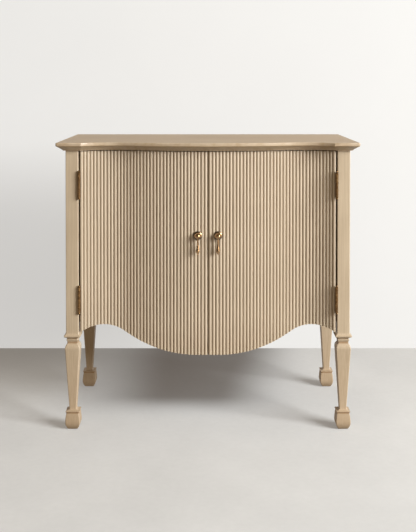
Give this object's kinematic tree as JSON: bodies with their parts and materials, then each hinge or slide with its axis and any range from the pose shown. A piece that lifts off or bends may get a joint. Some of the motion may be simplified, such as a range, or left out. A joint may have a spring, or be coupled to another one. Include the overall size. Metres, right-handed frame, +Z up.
{
  "type": "hall chest",
  "caption": "Free-standing cupboard on square tapered legs with a serpentine front: reeded doors on butt hinges, a moulded shaped top and brass drop pulls.",
  "frame": {"origin": "on the floor, under the middle of the part's box", "axes": "+X to the right when looking at the doors, +Y to the back, +Z up; the doors face -Y"},
  "size_m": [0.9, 0.4435, 0.8605],
  "materials": {
    "limed_wood": "satin, beige limed paint",
    "inside_wood": "plain, unpainted",
    "dowel_wood": "plain beech",
    "aged_brass": "aged, darkened",
    "zinced_steel": "zinc plated",
    "dark_plastic": "matte"
  },
  "bodies": {
    "carcass": {"top": "limed_wood", "front_left_leg": "limed_wood", "front_right_leg": "limed_wood", "back_left_leg": "limed_wood", "back_right_leg": "limed_wood", "left_side_panel": "limed_wood", "right_side_panel": "limed_wood", "sub_top": "inside_wood", "bottom_board": "inside_wood", "shelf": "inside_wood", "back_panel": "inside_wood", "corner_blocks": "inside_wood", "board_dowels": "dowel_wood", "shelf_pins": "aged_brass", "hinge_frame_screws": "aged_brass", "left_upper_hinge_frame_leaf": "aged_brass", "left_upper_hinge_pin": "aged_brass", "left_lower_hinge_frame_leaf": "aged_brass", "left_lower_hinge_pin": "aged_brass", "right_upper_hinge_frame_leaf": "aged_brass", "right_upper_hinge_pin": "aged_brass", "right_lower_hinge_frame_leaf": "aged_brass", "right_lower_hinge_pin": "aged_brass", "top_screws": "zinced_steel", "back_panel_screws": "zinced_steel", "catch_screws": "zinced_steel", "magnetic_catch": "dark_plastic", "floor_glides": "dark_plastic"},
    "left_door": {"left_door_core": "limed_wood", "left_door_reeds": "limed_wood", "left_door_hinge_screws": "aged_brass", "left_strike_plate": "zinced_steel", "left_strike_screw": "zinced_steel", "left_pull_rosette": "aged_brass", "left_pull_pivot": "aged_brass", "left_pull_bolt": "zinced_steel", "left_upper_hinge_door_leaf": "aged_brass", "left_lower_hinge_door_leaf": "aged_brass"},
    "left_drop": {"left_pull_drop": "aged_brass"},
    "right_door": {"right_door_core": "limed_wood", "right_door_reeds": "limed_wood", "right_door_hinge_screws": "aged_brass", "right_strike_plate": "zinced_steel", "right_strike_screw": "zinced_steel", "right_pull_rosette": "aged_brass", "right_pull_pivot": "aged_brass", "right_pull_bolt": "zinced_steel", "right_upper_hinge_door_leaf": "aged_brass", "right_lower_hinge_door_leaf": "aged_brass"},
    "right_drop": {"right_pull_drop": "aged_brass"}
  },
  "joints": [
    {"name": "left_door_hinge", "type": "hinge", "parent": "carcass", "child": "left_door", "pos_m": [-0.3839, -0.18799, 0.562], "axis": [0, 0, -1], "range_deg": [0, 170]},
    {"name": "left_drop_swing", "type": "hinge", "parent": "left_door", "child": "left_drop", "pos_m": [-0.03, -0.20776, 0.5845], "axis": [-1, 0, 0], "range_deg": [-7, 85]},
    {"name": "right_door_hinge", "type": "hinge", "parent": "carcass", "child": "right_door", "pos_m": [0.3839, -0.18799, 0.562], "axis": [0, 0, 1], "range_deg": [0, 170]},
    {"name": "right_drop_swing", "type": "hinge", "parent": "right_door", "child": "right_drop", "pos_m": [0.03, -0.20776, 0.5845], "axis": [-1, 0, 0], "range_deg": [-7, 85]}
  ]
}
